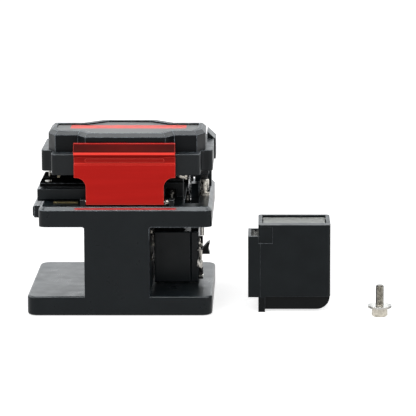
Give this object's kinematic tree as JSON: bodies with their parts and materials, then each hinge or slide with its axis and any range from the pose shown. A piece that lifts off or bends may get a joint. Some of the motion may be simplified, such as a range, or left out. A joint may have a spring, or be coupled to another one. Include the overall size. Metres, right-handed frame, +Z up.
{
  "type": "fibre cleaver",
  "caption": "Bench fibre cleaver with a hinged lid, front latch, sliding round-blade carriage and a separate scrap box with its screw.",
  "frame": {"origin": "centre of the base pad's underside", "axes": "+X to the user's right, +Y to the hinge at the back, +Z up"},
  "size_m": [0.1378, 0.0684, 0.0694],
  "materials": {
    "black_anodised": "satin black anodised",
    "black_moulding": "satin",
    "red_anodised": "satin red anodised",
    "steel": "machined",
    "blade_steel": "ground",
    "rubber": "matt",
    "label_metal": "brushed",
    "ceramic": "glazed",
    "grey_panel": "satin"
  },
  "bodies": {
    "root": {"frame_casting": "black_anodised", "base_pad": "rubber", "guide_rail": "steel", "rail_screws": "steel", "striker_pin": "steel", "fibre_holder_block": "black_anodised", "fibre_holder_plate": "black_moulding", "holder_screws": "steel", "side_rail": "black_anodised", "left_lower_clamp": "black_moulding", "left_lower_rubber": "rubber", "clamp_height_screw": "steel", "right_lower_clamp": "steel", "right_lower_rubber": "rubber", "left_hinge_bracket": "black_anodised", "right_hinge_bracket": "black_anodised", "hinge_pin": "steel", "latch_bracket": "black_anodised", "latch_pin": "steel", "latch_spring": "steel", "fixing_screw": "steel", "screw_washer": "steel"},
    "lid": {"lid_housing": "black_moulding", "lid_cover": "black_moulding", "label_plate": "label_metal", "lid_tail": "black_moulding", "lid_screws": "steel", "press_foot": "black_moulding", "ceramic_guide": "ceramic", "press_pin": "steel", "anvil": "black_moulding", "left_clamp_spring": "steel", "right_clamp_spring": "steel"},
    "left_clamp": {"left_upper_clamp": "steel", "left_upper_rubber": "rubber"},
    "right_clamp": {"right_upper_clamp": "black_moulding", "right_upper_rubber": "rubber"},
    "latch": {"latch_plate": "red_anodised"},
    "carriage": {"carriage_block": "black_anodised", "blade_plate": "black_anodised", "blade_spindle": "steel", "side_screws": "steel", "thumb_tab": "black_moulding"},
    "blade": {"blade_wheel": "blade_steel"},
    "pawl": {"index_pawl": "steel"},
    "scrap_box": {"box_shell": "black_moulding", "box_lid_pin": "steel"},
    "box_lid": {"box_lid": "grey_panel"}
  },
  "joints": [
    {"name": "lid_hinge", "type": "hinge", "parent": "root", "child": "lid", "pos_m": [0.0025, 0.026, 0.056], "axis": [-1, 0, 0], "range_deg": [0, 65]},
    {"name": "latch_swing", "type": "hinge", "parent": "root", "child": "latch", "pos_m": [0.0023, -0.0299, 0.0435], "axis": [1, 0, 0], "range_deg": [0, 35], "stiffness_Nm_per_rad": 0.03, "springref_deg": -11.46},
    {"name": "carriage_slide", "type": "slide", "parent": "root", "child": "carriage", "axis": [0, -1, 0], "range_m": [0, 0.014], "stiffness_N_per_m": 60, "springref_m": -0.004},
    {"name": "blade_turn", "type": "hinge", "parent": "carriage", "child": "blade", "pos_m": [0.0258, 0.001, 0.03995], "axis": [1, 0, 0], "continuous": true},
    {"name": "pawl_swing", "type": "hinge", "parent": "carriage", "child": "pawl", "pos_m": [0.0298, -0.007, 0.0237], "axis": [1, 0, 0], "range_deg": [-15, 15], "stiffness_Nm_per_rad": 0.001},
    {"name": "left_clamp_press", "type": "slide", "parent": "lid", "child": "left_clamp", "axis": [0, 0, 1], "range_m": [0, 0.001], "stiffness_N_per_m": 300, "springref_m": -0.001, "deforming": ["left_clamp_spring"]},
    {"name": "right_clamp_press", "type": "slide", "parent": "lid", "child": "right_clamp", "axis": [0, 0, 1], "range_m": [0, 0.001], "stiffness_N_per_m": 300, "springref_m": -0.001, "deforming": ["right_clamp_spring"]},
    {"name": "box_dock", "type": "slide", "parent": "root", "child": "scrap_box", "axis": [-0.9886, 0, 0.1503], "range_m": [0, 0.0173]},
    {"name": "box_lid_hinge", "type": "hinge", "parent": "scrap_box", "child": "box_lid", "pos_m": [0.0661, -0.00565, 0.0322], "axis": [-1, 0, 0], "range_deg": [0, 95]}
  ]
}
